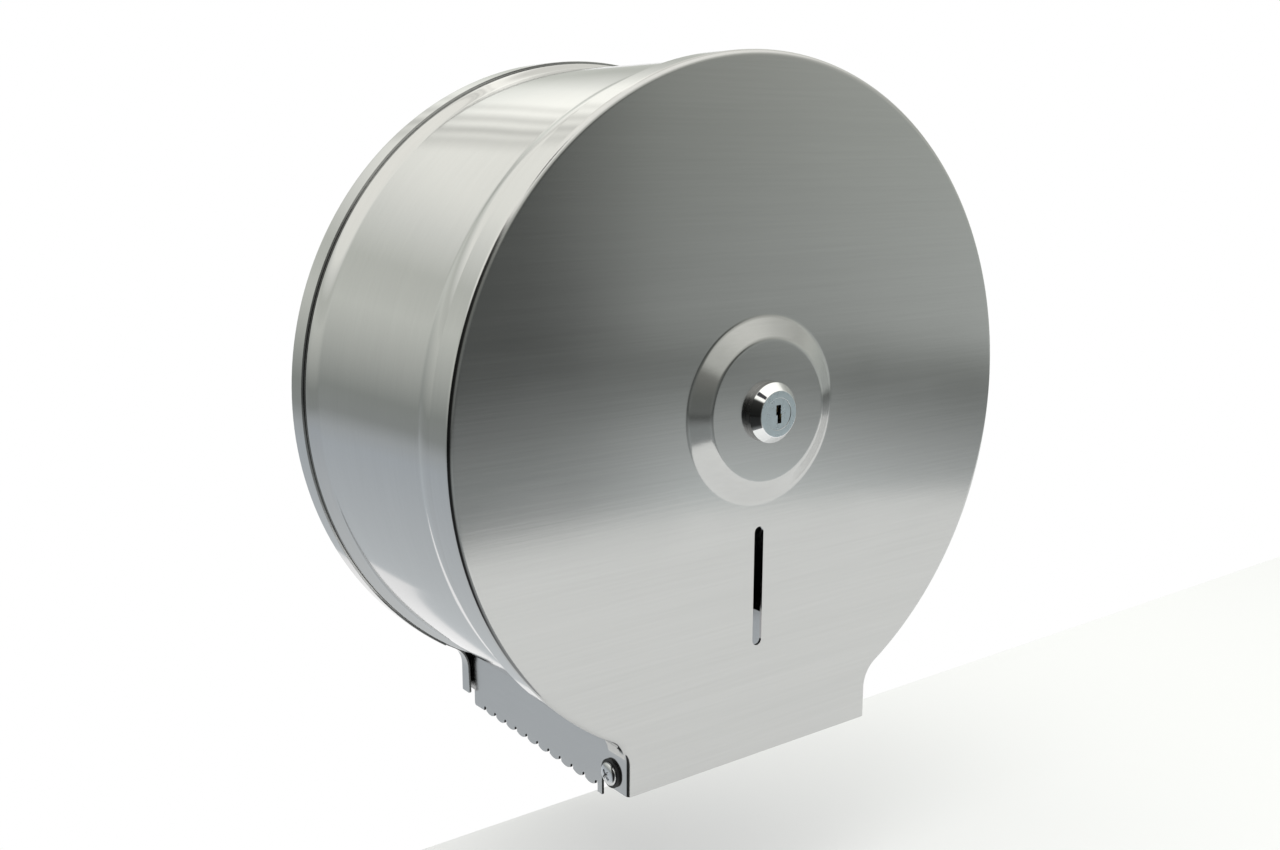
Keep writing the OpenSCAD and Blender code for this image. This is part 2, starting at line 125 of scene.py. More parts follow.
# The screens' tones by the height of a direction, from straight down to straight up: in front of
# the object, and behind it
FRONT_TONES = [
    (0.000, (0.80, 0.82, 0.82)),
    (0.372, (0.62, 0.66, 0.65)),
    (0.392, (0.48, 0.50, 0.49)),
    (0.404, (0.36, 0.38, 0.37)),
    (0.422, (0.17, 0.18, 0.17)),
    (0.440, (0.42, 0.44, 0.42)),
    (0.465, (0.40, 0.42, 0.40)),
    (0.525, (0.40, 0.42, 0.39)),
    (0.600, (0.50, 0.51, 0.47)),
    (0.735, (0.70, 0.71, 0.66)),
    (0.850, (1.20, 1.19, 1.12)),
    (1.000, (1.30, 1.29, 1.22)),
]
BACK_TONES = [
    (0.000, (0.80, 0.82, 0.82)),
    (0.360, (0.52, 0.56, 0.59)),
    (0.385, (0.48, 0.51, 0.52)),
    (0.412, (0.34, 0.36, 0.35)),
    (0.450, (0.33, 0.35, 0.33)),
    (0.515, (0.55, 0.57, 0.53)),
    (0.590, (0.77, 0.79, 0.73)),
    (0.655, (0.72, 0.74, 0.68)),
    (0.710, (0.98, 0.99, 0.93)),
    (0.750, (1.20, 1.20, 1.12)),
    (1.000, (1.35, 1.33, 1.24)),
]
# How much darker or lighter the front is from its left side to its right: the dark side of the
# studio lies beside and behind the camera
SIDE_SHARES = [(0.00, 0.02), (0.20, 0.04), (0.33, 0.40), (0.50, 0.50), (0.68, 0.30), (0.74, 0.18),
               (0.765, 0.50), (0.785, 0.85), (0.835, 1.05), (0.89, 1.35), (1.00, 1.35)]
LOW_SIDE_SHARES = [(0.00, 0.02), (0.20, 0.04), (0.33, 0.45), (0.50, 0.60), (0.68, 0.48), (0.735, 0.54),
                   (0.765, 0.80), (0.79, 1.15), (0.835, 1.10), (0.88, 0.90), (1.00, 0.85)]
# Lamps and their gaps high up behind the object, from left to right
STRIPE_SHARES = [(0.00, 0.96), (0.51, 0.96), (0.543, 0.74), (0.557, 0.93), (0.573, 0.62), (0.592, 1.05),
                 (0.610, 0.76), (0.633, 1.16), (0.650, 0.95), (0.668, 1.18), (0.725, 1.12),
                 (0.775, 0.92), (0.825, 0.78), (1.00, 0.75)]


def calculate(tree, operation, *values):
    """A math node's result. Each value is a number or a socket."""
    made = tree.nodes.new("ShaderNodeMath")
    made.operation = operation
    for socket, value in zip(made.inputs, values):
        if isinstance(value, (int, float)):
            socket.default_value = value
        else:
            tree.links.new(value, socket)
    return made.outputs[0]


def map_range(tree, value, low, high, start, end):
    """A smooth step from one number to another while a value rises."""
    made = add_node(tree, "ShaderNodeMapRange", interpolation_type="SMOOTHSTEP", in_From_Min=low,
                    in_From_Max=high, in_To_Min=start, in_To_Max=end)
    tree.links.new(value, made.inputs["Value"])
    return made.outputs["Result"]


def ramp(tree, value, stops):
    """A colour, or a grey tone, looked up by a value between -1 and 1."""
    place = add_node(tree, "ShaderNodeMapRange", in_From_Min=-1.0, in_From_Max=1.0)
    made = add_node(tree, "ShaderNodeValToRGB")
    elements = made.color_ramp.elements
    elements.remove(elements[-1])
    for number, (spot, colour) in enumerate(stops):
        element = elements.new(spot) if number else elements[0]
        element.position = spot
        element.color = (*colour, 1) if isinstance(colour, tuple) else (colour, colour, colour, 1)
    tree.links.new(value, place.inputs["Value"])
    tree.links.new(place.outputs["Result"], made.inputs["Fac"])
    return made.outputs["Color"]


def blend(tree, share, first, second, kind="MIX"):
    """A colour mixed from two, where a share of 1 is the second."""
    made = add_node(tree, "ShaderNodeMix", data_type="RGBA", blend_type=kind)
    for name, value in (("Factor_Float", share), ("A_Color", first), ("B_Color", second)):
        socket = next(i for i in made.inputs if i.identifier == name)
        if isinstance(value, (int, float, tuple)):
            socket.default_value = value
        else:
            tree.links.new(value, socket)
    return next(o for o in made.outputs if o.identifier == "Result_Color")


table_paint = new_material("table_white")
tree = table_paint.node_tree
paths = add_node(tree, "ShaderNodeLightPath")
seen = calculate(tree, "MAXIMUM", paths.outputs["Is Camera Ray"], paths.outputs["Is Glossy Ray"])
seen = calculate(tree, "MAXIMUM", seen, paths.outputs["Is Transmission Ray"])
glow = add_node(tree, "ShaderNodeEmission")
matt = add_node(tree, "ShaderNodeBsdfDiffuse", in_Color=(*TABLE_PALE, 1))
both = add_node(tree, "ShaderNodeAddShader")
out = add_node(tree, "ShaderNodeOutputMaterial")
tree.links.new(calculate(tree, "MULTIPLY", seen, TABLE_GLOW), glow.inputs["Strength"])
tree.links.new(glow.outputs[0], both.inputs[0])
tree.links.new(matt.outputs[0], both.inputs[1])
tree.links.new(both.outputs[0], out.inputs["Surface"])
table.data.materials.append(table_paint)

world = bpy.data.worlds.new("studio")
scene.world = world
world.use_nodes = True
world.node_tree.nodes["Background"].inputs["Color"].default_value = (1, 1, 1, 1)

# The screens leave a gap behind the object, as wide as the picture
screen_bm = bmesh.new()
bmesh.ops.create_uvsphere(screen_bm, u_segments=96, v_segments=48, radius=SCREEN_RADIUS)
to_camera = camera.matrix_world.inverted()
in_picture = []
for face in screen_bm.faces:
    spot = to_camera @ face.calc_center_median()
    if spot.z < 0 and abs(spot.x / spot.z) < GAP_HALF_W and abs(spot.y / spot.z) < GAP_HALF_H:
        in_picture.append(face)
bmesh.ops.delete(screen_bm, geom=in_picture, context="FACES")
screens = add_object("screens", screen_bm)
screens.visible_camera = False
screens.visible_shadow = False

screen_paint = new_material("screen_tones")
screens.data.materials.append(screen_paint)
tree = screen_paint.node_tree
place = add_node(tree, "ShaderNodeTexCoord")
direction = add_node(tree, "ShaderNodeVectorMath", operation="NORMALIZE")
split = add_node(tree, "ShaderNodeSeparateXYZ")
tree.links.new(place.outputs["Object"], direction.inputs[0])
tree.links.new(direction.outputs[0], split.inputs[0])
across, along, height = (split.outputs[name] for name in "XYZ")
# The sides differ below the table's edge, and fade out high up, sooner on the left
above_low = map_range(tree, height, -0.175, -0.125, 0.0, 1.0)
side = blend(tree, above_low, ramp(tree, across, LOW_SIDE_SHARES), ramp(tree, across, SIDE_SHARES))
left_only = calculate(tree, "MINIMUM", across, 0)
leaning = calculate(tree, "MULTIPLY_ADD", left_only, 0.75, height)
low_down = map_range(tree, leaning, 0.15, 0.3, 1.0, 0.0)
front = blend(tree, low_down, ramp(tree, height, FRONT_TONES),
              blend(tree, 1.0, ramp(tree, height, FRONT_TONES), side, "MULTIPLY"))
# A small dark panel hangs high up on the left, beside the camera
from_panel = add_node(tree, "ShaderNodeVectorMath", operation="DISTANCE", in_1=PANEL_PLACE)
tree.links.new(direction.outputs[0], from_panel.inputs[0])
on_panel = map_range(tree, from_panel.outputs["Value"], PANEL_INSIDE, PANEL_OUTSIDE, 1.0, 0.0)
front = blend(tree, on_panel, front, PANEL_TONE)
# The stripes are upright and stand behind the object, above its middle
bearing = calculate(tree, "DIVIDE", across, calculate(tree, "MAXIMUM", along, 0.05))
stripes = ramp(tree, bearing, STRIPE_SHARES)
high_up = map_range(tree, height, 0.1, 0.25, 0.0, 1.0)
behind = blend(tree, high_up, ramp(tree, height, BACK_TONES),
               blend(tree, 1.0, ramp(tree, height, BACK_TONES), stripes, "MULTIPLY"))
screen_tone = blend(tree, map_range(tree, along, -0.05, 0.2, 0.0, 1.0), front, behind)
glow = add_node(tree, "ShaderNodeEmission", in_Strength=1.0)
out = add_node(tree, "ShaderNodeOutputMaterial")
tree.links.new(screen_tone, glow.inputs["Color"])
tree.links.new(glow.outputs[0], out.inputs["Surface"])


def add_lamp(name, watts, size, place, aim, colour=(1, 1, 1)):
    """A soft square lamp that looks at a point."""
    data = bpy.data.lights.new(name, "AREA")
    data.energy = watts
    data.size = size
    data.color = colour
    lamp = bpy.data.objects.new(name, data)
    scene.collection.objects.link(lamp)
    look = (Vector(aim) - Vector(place)).to_track_quat("-Z", "Y").to_matrix().to_4x4()
    lamp.matrix_world = Matrix.Translation(place) @ look
    lamp.visible_glossy = False


add_lamp("ceiling_lamp", 7.0, 0.9, (-0.35, -0.25, 1.0), (0, -0.05, 0), (1.0, 0.985, 0.95))
add_lamp("front_lamp", 2.0, 0.7, (0.55, -1.0, 0.45), (0, -0.1, 0), (0.97, 0.985, 1.0))


# ---------------------------------------------------------------- Front lid
# One stainless sheet, pressed with a raised boss for the lock and bent back into a rim all round
# except along the foot's bottom edge. It is brushed from side to side, and has a sight slot and
# two holes for the hinge screws in its foot's sides.
SHEET = 1.0
LID_R = 133.0
LID_FRONT = 128.0
RIM_DEPTH = 12.5
LID_BEND = 2.0
FOOT_HALF_W = 62.0
FOOT_DROP = 137.5
FOOT_FILLET = 12.0
FILLET_STEPS = 14
DRUM_STEPS = 168
BEND_STEPS = 8
AXIS_UP = 2.0
BOSS_R = 35.6
BOSS_TOP_R = 27.6
BOSS_H = 4.0
BOSS_SOFT = 4.0
BARREL_HOLE_R = 9.6
SLOT_W = 4.5
SLOT_TOP = -43.5
SLOT_LEN = 48.0
PIVOT_DEPTH = 117.5
PIVOT_UP = -131.5
PIVOT_HOLE_R = 2.56
SUPPORT = 0.5
HAIR = 0.12


def at(x, depth, z):
    """A point in metres from mm: right of the centre, distance from the wall, and height."""
    return Vector((x * MM, -depth * MM, z * MM))


def arc(bm, vert, centre, degrees, steps, axis=(0, 1, 0)):
    """Draws an arc on from a vertex, round an axis, and returns the new vertices in order."""
    made = []
    for _ in range(steps):
        spun = bmesh.ops.spin(bm, geom=[vert], cent=centre, axis=axis,
                              angle=math.radians(degrees / steps), steps=1)
        vert = spun["geom_last"][0]
        made.append(vert)
    return made


def line(bm, vert, *points):
    """Draws straight edges on from a vertex and returns the new vertices."""
    made = []
    for point in points:
        made.append(bm.verts.new(point))
        bm.edges.new((vert, made[-1]))
        vert = made[-1]
    return made


def edges_of(bm, chain, closed=False):
    """The edges along a chain of vertices."""
    pairs = list(zip(chain, chain[1:] + chain[:1]))
    return [bm.edges.get(pair) for pair in (pairs if closed else pairs[:-1])]


def drum_outline(bm, radius, inset, depth):
    """The outline of the drum and its foot, open along the foot's bottom edge."""
    fillet_x = FOOT_HALF_W + FOOT_FILLET
    fillet_z = -math.sqrt((radius + FOOT_FILLET) ** 2 - fillet_x ** 2)
    lean = math.degrees(math.atan2(-fillet_z, fillet_x))
    side = FOOT_HALF_W - inset
    chain = [bm.verts.new(at(-side, depth, -FOOT_DROP))]
    chain += line(bm, chain[-1], at(-side, depth, fillet_z))
    chain += arc(bm, chain[-1], at(-fillet_x, depth, fillet_z), -lean, FILLET_STEPS)
    chain += arc(bm, chain[-1], at(0, depth, 0), 180 + 2 * lean, DRUM_STEPS)
    chain += arc(bm, chain[-1], at(fillet_x, depth, fillet_z), -lean, FILLET_STEPS)
    chain += line(bm, chain[-1], at(side, depth, -FOOT_DROP))
    return chain


def bent_rim(bm, radius, bend, rim_end, face, towards_front):
    """Rings from a rim's free edge, round its bend, to the flat face. Returns all of them."""
    way = 1 if towards_front else -1
    rings = [(0, rim_end), (0, face - way * bend)]
    for step in range(1, BEND_STEPS + 1):
        turn = math.pi / 2 * step / BEND_STEPS
        rings.append((bend * (1 - math.cos(turn)), face - way * bend * (1 - math.sin(turn))))
    rings.append((bend + SUPPORT, face))
    chains = [drum_outline(bm, radius, inset, depth) for inset, depth in rings]
    for first, second in zip(chains, chains[1:]):
        bmesh.ops.bridge_loops(bm, edges=edges_of(bm, first) + edges_of(bm, second))
    return chains


def round_hole(bm, centre, radius, across="Y", steps=32):
    """A loop of edges for a round hole, whose axis runs along Y or X."""
    turn = Matrix.Rotation(math.radians(90), 4, "X" if across == "Y" else "Y")
    made = bmesh.ops.create_circle(bm, radius=radius * MM, segments=steps,
                                   matrix=Matrix.Translation(centre) @ turn)
    return list({edge for vert in made["verts"] for edge in vert.link_edges})


def fill_flat(bm, edges):
    """Fills a flat outline, leaving its inner loops open as holes."""
    return bmesh.ops.triangle_fill(bm, use_beauty=True, edges=edges)


def hole_in_side(bm, side, depth, z, radius):
    """Cuts a round hole through the flat foot side at x = side."""
    def is_side(face):
        return all(abs(v.co.x - side * MM) < 1e-6 and v.co.z < -0.1 for v in face.verts)

    flat = next(face for face in bm.faces if is_side(face))
    outer = list(flat.edges)
    bmesh.ops.delete(bm, geom=[flat], context="FACES_ONLY")
    fill_flat(bm, outer + round_hole(bm, at(side, depth, z), radius, "X"))


def to_object(name, bm, body, point_inside=None):
    """Makes an object of a finished bmesh, with its faces turned outwards, riding on its body."""
    bmesh.ops.remove_doubles(bm, verts=bm.verts, dist=1e-6)
    bmesh.ops.recalc_face_normals(bm, faces=bm.faces)
    if point_inside is not None:
        facing = sum((f.calc_center_median() - point_inside).dot(f.normal) * f.calc_area()
                     for f in bm.faces)
        if facing < 0:
            bmesh.ops.reverse_faces(bm, faces=bm.faces)
    made = add_object(name, bm)
    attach(made, body)
    return made


def finish_edges(piece, wall=None, edge=HAIR, sharp=40, segments=2):
    """Gives a skin its wall, rounds its sharp edges and keeps its flat faces flat in the light."""
    if wall:
        solid = piece.modifiers.new("wall", "SOLIDIFY")
        solid.thickness = wall * MM
        solid.offset = -1
        solid.use_even_offset = True
    rounding = piece.modifiers.new("rounding", "BEVEL")
    rounding.width = edge * MM
    rounding.segments = segments
    rounding.limit_method = "ANGLE"
    rounding.angle_limit = math.radians(sharp)
    rounding.use_clamp_overlap = True
    depsgraph = bpy.context.evaluated_depsgraph_get()
    mesh = bpy.data.meshes.new_from_object(piece.evaluated_get(depsgraph))
    piece.modifiers.clear()
    piece.data = mesh
    mesh.name = piece.name
    mesh.shade_smooth()
    level = piece.modifiers.new("normals", "WEIGHTED_NORMAL")
    level.keep_sharp = True
    level.weight = 60


lid_bm = bmesh.new()
lid_rings = bent_rim(lid_bm, LID_R, LID_BEND, LID_FRONT - RIM_DEPTH, LID_FRONT, True)
face_ring = lid_rings[-1]
face_edges = edges_of(lid_bm, face_ring) + [lid_bm.edges.new((face_ring[0], face_ring[-1]))]

# The boss is turned from its outer edge, over its slope, to the lock's hole
slope = math.atan2(BOSS_H, BOSS_R - BOSS_TOP_R)
ease = BOSS_SOFT * math.tan(slope / 2)
boss_face = LID_FRONT + BOSS_H
boss = [lid_bm.verts.new(at(BOSS_R + ease + SUPPORT, LID_FRONT, AXIS_UP))]
boss += line(lid_bm, boss[-1], at(BOSS_R + ease, LID_FRONT, AXIS_UP))
boss += arc(lid_bm, boss[-1], at(BOSS_R + ease, LID_FRONT + BOSS_SOFT, AXIS_UP),
            math.degrees(slope), 6, (0, 0, 1))
boss += line(lid_bm, boss[-1], at(BOSS_TOP_R + ease * math.cos(slope),
                                  boss_face - ease * math.sin(slope), AXIS_UP))
boss += arc(lid_bm, boss[-1], at(BOSS_TOP_R - ease, boss_face - BOSS_SOFT, AXIS_UP),
            -math.degrees(slope), 6, (0, 0, 1))
boss += line(lid_bm, boss[-1], at(BOSS_TOP_R - ease - SUPPORT, boss_face, AXIS_UP),
             at(BARREL_HOLE_R + SUPPORT, boss_face, AXIS_UP), at(BARREL_HOLE_R, boss_face, AXIS_UP))
bmesh.ops.spin(lid_bm, geom=boss + edges_of(lid_bm, boss), cent=at(0, 0, AXIS_UP), axis=(0, 1, 0),
               angle=math.tau, steps=128, use_merge=True)
rim_r = (BOSS_R + ease + SUPPORT) * MM
boss_edges = [e for e in lid_bm.edges
              if all(abs((v.co - at(0, LID_FRONT, AXIS_UP)).length - rim_r) < 1e-6 for v in e.verts)]


def slot_loop(bm, grow, depth):
    """The sight slot's outline, grown by a margin."""
    half = SLOT_W / 2 + grow
    top, low = SLOT_TOP - SLOT_W / 2, SLOT_TOP - SLOT_LEN + SLOT_W / 2
    chain = [bm.verts.new(at(-half, depth, top))]
    chain += arc(bm, chain[-1], at(0, depth, top), 180, 12)
    chain += line(bm, chain[-1], at(half, depth, low))
    chain += arc(bm, chain[-1], at(0, depth, low), 180, 12)
    bm.edges.new((chain[-1], chain[0]))
    return edges_of(bm, chain, closed=True)


slot_edges = slot_loop(lid_bm, SUPPORT, LID_FRONT)
bmesh.ops.bridge_loops(lid_bm, edges=slot_edges + slot_loop(lid_bm, 0, LID_FRONT))
fill_flat(lid_bm, face_edges + boss_edges + slot_edges)
for side in (-FOOT_HALF_W, FOOT_HALF_W):
    hole_in_side(lid_bm, side, PIVOT_DEPTH, PIVOT_UP, PIVOT_HOLE_R)
front_lid = to_object("lid_sheet", lid_bm, "lid", at(0, 60, 0))
finish_edges(front_lid, wall=SHEET)
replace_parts(front_lid, "front_lid")


def make_grain_group():
    """Brushed grain: long scratches along the longest side of the noise, with soft clouds."""
    group = bpy.data.node_groups.new("brushed_grain", "ShaderNodeTree")
    for name, kind, value in (("Vector", "NodeSocketVector", None), ("Stretch", "NodeSocketVector", None),
                              ("Clouds", "NodeSocketFloat", 14.0), ("Base", "NodeSocketColor", None),
                              ("Contrast", "NodeSocketFloat", 0.12), ("Roughness", "NodeSocketFloat", 0.2)):
        socket = group.interface.new_socket(name, in_out="INPUT", socket_type=kind)
        if value is not None:
            socket.default_value = value
    for name, kind in (("Color", "NodeSocketColor"), ("Roughness", "NodeSocketFloat"),
                       ("Height", "NodeSocketFloat")):
        group.interface.new_socket(name, in_out="OUTPUT", socket_type=kind)
    given = add_node(group, "NodeGroupInput")
    result = add_node(group, "NodeGroupOutput")
    pull = add_node(group, "ShaderNodeVectorMath", operation="MULTIPLY")
    fine = add_node(group, "ShaderNodeTexNoise", in_Scale=1.0, in_Detail=3.0, in_Roughness=0.65)
    wide_pull = add_node(group, "ShaderNodeVectorMath", operation="SCALE", in_Scale=0.16)
    wide = add_node(group, "ShaderNodeTexNoise", in_Scale=1.0, in_Detail=2.0)
    cloud = add_node(group, "ShaderNodeTexNoise", in_Detail=2.0)
    both = add_node(group, "ShaderNodeMath", operation="MULTIPLY_ADD", in_1=0.6)
    swing = add_node(group, "ShaderNodeMath", operation="SUBTRACT", in_1=0.8)
    tint = add_node(group, "ShaderNodeMath", operation="MULTIPLY_ADD", in_2=1.0)
    shade = add_node(group, "ShaderNodeVectorMath", operation="SCALE")
    patches = add_node(group, "ShaderNodeMapRange", in_From_Min=0.3, in_From_Max=0.7, in_To_Min=0.85,
                       in_To_Max=1.2)
    rough = add_node(group, "ShaderNodeMath", operation="MULTIPLY")
    rough_tint = add_node(group, "ShaderNodeMath", operation="MULTIPLY")
    connect = group.links.new
    connect(given.outputs["Vector"], pull.inputs[0])
    connect(given.outputs["Stretch"], pull.inputs[1])
    connect(pull.outputs[0], fine.inputs["Vector"])
    connect(pull.outputs[0], wide_pull.inputs[0])
    connect(wide_pull.outputs[0], wide.inputs["Vector"])
    connect(given.outputs["Vector"], cloud.inputs["Vector"])
    connect(given.outputs["Clouds"], cloud.inputs["Scale"])
    connect(wide.outputs["Fac"], both.inputs[0])
    connect(fine.outputs["Fac"], both.inputs[2])
    connect(both.outputs[0], swing.inputs[0])
    connect(swing.outputs[0], tint.inputs[0])
    connect(given.outputs["Contrast"], tint.inputs[1])
    connect(given.outputs["Base"], shade.inputs[0])
    connect(tint.outputs[0], shade.inputs["Scale"])
    connect(shade.outputs[0], result.inputs["Color"])
    connect(cloud.outputs["Fac"], patches.inputs["Value"])
    connect(given.outputs["Roughness"], rough.inputs[0])
    connect(patches.outputs["Result"], rough.inputs[1])
    connect(rough.outputs[0], rough_tint.inputs[0])
    connect(tint.outputs[0], rough_tint.inputs[1])
    connect(rough_tint.outputs[0], result.inputs["Roughness"])
    connect(both.outputs[0], result.inputs["Height"])
    return group


grain_group = make_grain_group()
CLOUDS = 14.0
SWELLS = 16.0
SWELL_H = 0.25


def brushed_steel(name, stretch, base=(0.58, 0.58, 0.58), roughness=0.14, contrast=0.1, relief=0.02,
                  along="Z", anisotropic=0.3, turn=0.0):
    """Brushed stainless steel. Stretch gives the scratches per metre along X, Y and Z."""
    material = new_material(name)
    tree = material.node_tree
    place = add_node(tree, "ShaderNodeTexCoord")
    grain = add_node(tree, "ShaderNodeGroup", node_tree=grain_group, in_Stretch=stretch,
                     in_Base=(*base, 1), in_Contrast=contrast, in_Roughness=roughness,
                     in_Clouds=CLOUDS)
    swell = add_node(tree, "ShaderNodeTexNoise", in_Scale=SWELLS, in_Detail=0.0)
    dents = add_node(tree, "ShaderNodeBump", in_Strength=1.0, in_Distance=SWELL_H * MM)
    bump = add_node(tree, "ShaderNodeBump", in_Strength=relief, in_Distance=0.0002)
    steel = add_node(tree, "ShaderNodeBsdfPrincipled", in_Metallic=1.0, in_Anisotropic=anisotropic,
                     in_Anisotropic_Rotation=turn)
    tangent = add_node(tree, "ShaderNodeTangent", direction_type="RADIAL", axis=along)
    out = add_node(tree, "ShaderNodeOutputMaterial")
    connect = tree.links.new
    connect(place.outputs["Object"], grain.inputs["Vector"])
    connect(grain.outputs["Color"], steel.inputs["Base Color"])
    connect(grain.outputs["Roughness"], steel.inputs["Roughness"])
    connect(place.outputs["Object"], swell.inputs["Vector"])
    connect(swell.outputs["Fac"], dents.inputs["Height"])
    connect(dents.outputs[0], bump.inputs["Normal"])
    connect(grain.outputs["Height"], bump.inputs["Height"])
    connect(bump.outputs[0], steel.inputs["Normal"])
    connect(tangent.outputs[0], steel.inputs["Tangent"])
    connect(steel.outputs[0], out.inputs["Surface"])
    return material


def paint(piece, material):
    """Gives a piece one material."""
    piece.data.materials.clear()
    piece.data.materials.append(material)


def paint_rim(piece, material):
    """Gives the faces bent back round a sheet the grain that runs along the rim."""
    piece.data.materials.append(material)
    for face in piece.data.polygons:
        if abs(face.normal.y) < 0.3:
            face.material_index = 1


lid_steel = brushed_steel("lid_steel", (18, 900, 900))
band_steel = brushed_steel("band_steel", (60, 700, 60), along="Y", roughness=0.075, contrast=0.06,
                           relief=0.01, anisotropic=0.6, turn=0.25)
paint(front_lid, lid_steel)
paint_rim(front_lid, band_steel)


# ---------------------------------------------------------------- Back plate
# A shallow pan of the same sheet, with its rim bent towards the front. It is drilled for four
# wall screws and eight rivets, and along the foot its rim is cut back and rounded.
BACK_R = 134.0
BACK_BEND = 3.6
BACK_FOOT_RIM = 7.6
FOOT_RIM_SLANT = 0.06
FOOT_RIM_BELOW = -113.0
FOOT_RIM_CORNER = 0.8
WALL_HOLE = 60.0
WALL_HOLE_R = 3.0
RIVET_R = 2.0
FLANGE_RIVET_R = 29.0
PLATE_X = FOOT_HALF_W - SHEET - 1.2
TAB_RIVET_X = PLATE_X - 7.0
TAB_RIVET_UP = (-114.98, -128.98)

back_bm = bmesh.new()
back_rings = bent_rim(back_bm, BACK_R, BACK_BEND, RIM_DEPTH, 0.0, False)
for vert in back_rings[0]:
    drop = FOOT_RIM_BELOW - vert.co.z / MM
    if drop > 0:
        vert.co.y = -(BACK_FOOT_RIM + FOOT_RIM_SLANT * drop) * MM
face_ring = back_rings[-1]
back_edges = edges_of(back_bm, face_ring) + [back_bm.edges.new((face_ring[0], face_ring[-1]))]
for x in (-WALL_HOLE, WALL_HOLE):
    for z in (-WALL_HOLE, WALL_HOLE):
        back_edges += round_hole(back_bm, at(x, 0, z), WALL_HOLE_R)
for quarter in range(4):
    turn = math.radians(45 + 90 * quarter)
    spot = at(FLANGE_RIVET_R * math.cos(turn), 0, AXIS_UP + FLANGE_RIVET_R * math.sin(turn))
    back_edges += round_hole(back_bm, spot, RIVET_R)
for x in (-TAB_RIVET_X, TAB_RIVET_X):
    for z in TAB_RIVET_UP:
        back_edges += round_hole(back_bm, at(x, 0, z), RIVET_R)
fill_flat(back_bm, back_edges)
bmesh.ops.bevel(back_bm, geom=[back_rings[0][0], back_rings[0][-1]], affect="VERTICES",
                offset=FOOT_RIM_CORNER * MM, offset_type="OFFSET", segments=3, profile=0.5, material=-1)
back_plate = to_object("back_pan", back_bm, "housing", at(0, 60, 0))
finish_edges(back_plate, wall=SHEET)
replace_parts(back_plate, "back_plate")
paint(back_plate, lid_steel)
paint_rim(back_plate, band_steel)


# ---------------------------------------------------------------- Drum band
# A long strip, brushed along its length, rolled into the drum's side and welded to the back
# plate and the tear plates. Behind it is wider, under the back plate's rim, and a soft bead
# near its front end stiffens it.
BAND_R = 130.6
BAND_START, BAND_END = 1.0, 119.0
BEAD_H = 0.8
BEAD_W = 11.0
BEAD_START = 103.5
SHOULDER_H = 2.34
SHOULDER_RISE = 3.5
SHOULDER_SLOPE = 7.0
SHOULDER_END = 21.5
BAND_ROWS = 118


def bead_height(depth):
    """How far the band stands out at a distance from the wall."""
    bead = (depth - BEAD_START) / BEAD_W
    if 0 < bead < 1:
        return BEAD_H * math.sin(math.pi * bead) ** 0.9
    rise = min(1, (depth - BAND_START) / SHOULDER_RISE)
    slope = min(1, max(0, (SHOULDER_END - depth) / SHOULDER_SLOPE))
    return SHOULDER_H * rise * slope * slope * (3 - 2 * slope)


band_bm = bmesh.new()
open_angle = math.degrees(math.asin(PLATE_X / BAND_R))
down = math.radians(open_angle)


def band_point(depth):
    """A point on the band's left end, beside the left tear plate."""
    reach = BAND_R + bead_height(depth)
    return at(-reach * math.sin(down), depth, -reach * math.cos(down))


band_depths = [BAND_START + (BAND_END - BAND_START) * row / BAND_ROWS for row in range(BAND_ROWS + 1)]
profile = [band_bm.verts.new(band_point(band_depths[0]))]
profile += line(band_bm, profile[0], *[band_point(depth) for depth in band_depths[1:]])
bmesh.ops.spin(band_bm, geom=profile + edges_of(band_bm, profile), cent=(0, 0, 0), axis=(0, 1, 0),
               angle=math.radians(360 - 2 * open_angle), steps=200)
drum_band = to_object("drum_strip", band_bm, "housing", at(0, 60, 0))
finish_edges(drum_band, wall=SHEET)
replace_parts(drum_band, "drum_band")
paint(drum_band, band_steel)


# ---------------------------------------------------------------- Tear plates
# Two plates stamped from the same sheet, with rounded teeth along the bottom to tear the paper
# on. In front each has a longer tab and an ear for the hinge screw, and behind it is bent
# inwards and riveted to the back plate.
PLATE_TOP = -109.0
TEETH_TIP = -143.3
TOOTH_H = 0.9
NOTCH_RISE = 0.8
TOOTH_PITCH = 8.52
NOTCH_COUNT = 11
FIRST_NOTCH = 18.75
NOTCH_R = 0.9
PLATE_REAR_STEP = 9.6
PLATE_REAR_UP = -136.0
TAB_START = FIRST_NOTCH + (NOTCH_COUNT - 1) * TOOTH_PITCH + 0.4
TAB_W = 3.5
TAB_TIP = -145.0
EAR_R = 6.0
EAR_STEP = 6.0
NOTCH_TOP = -135.5
REAR_TAB_W = 14.0


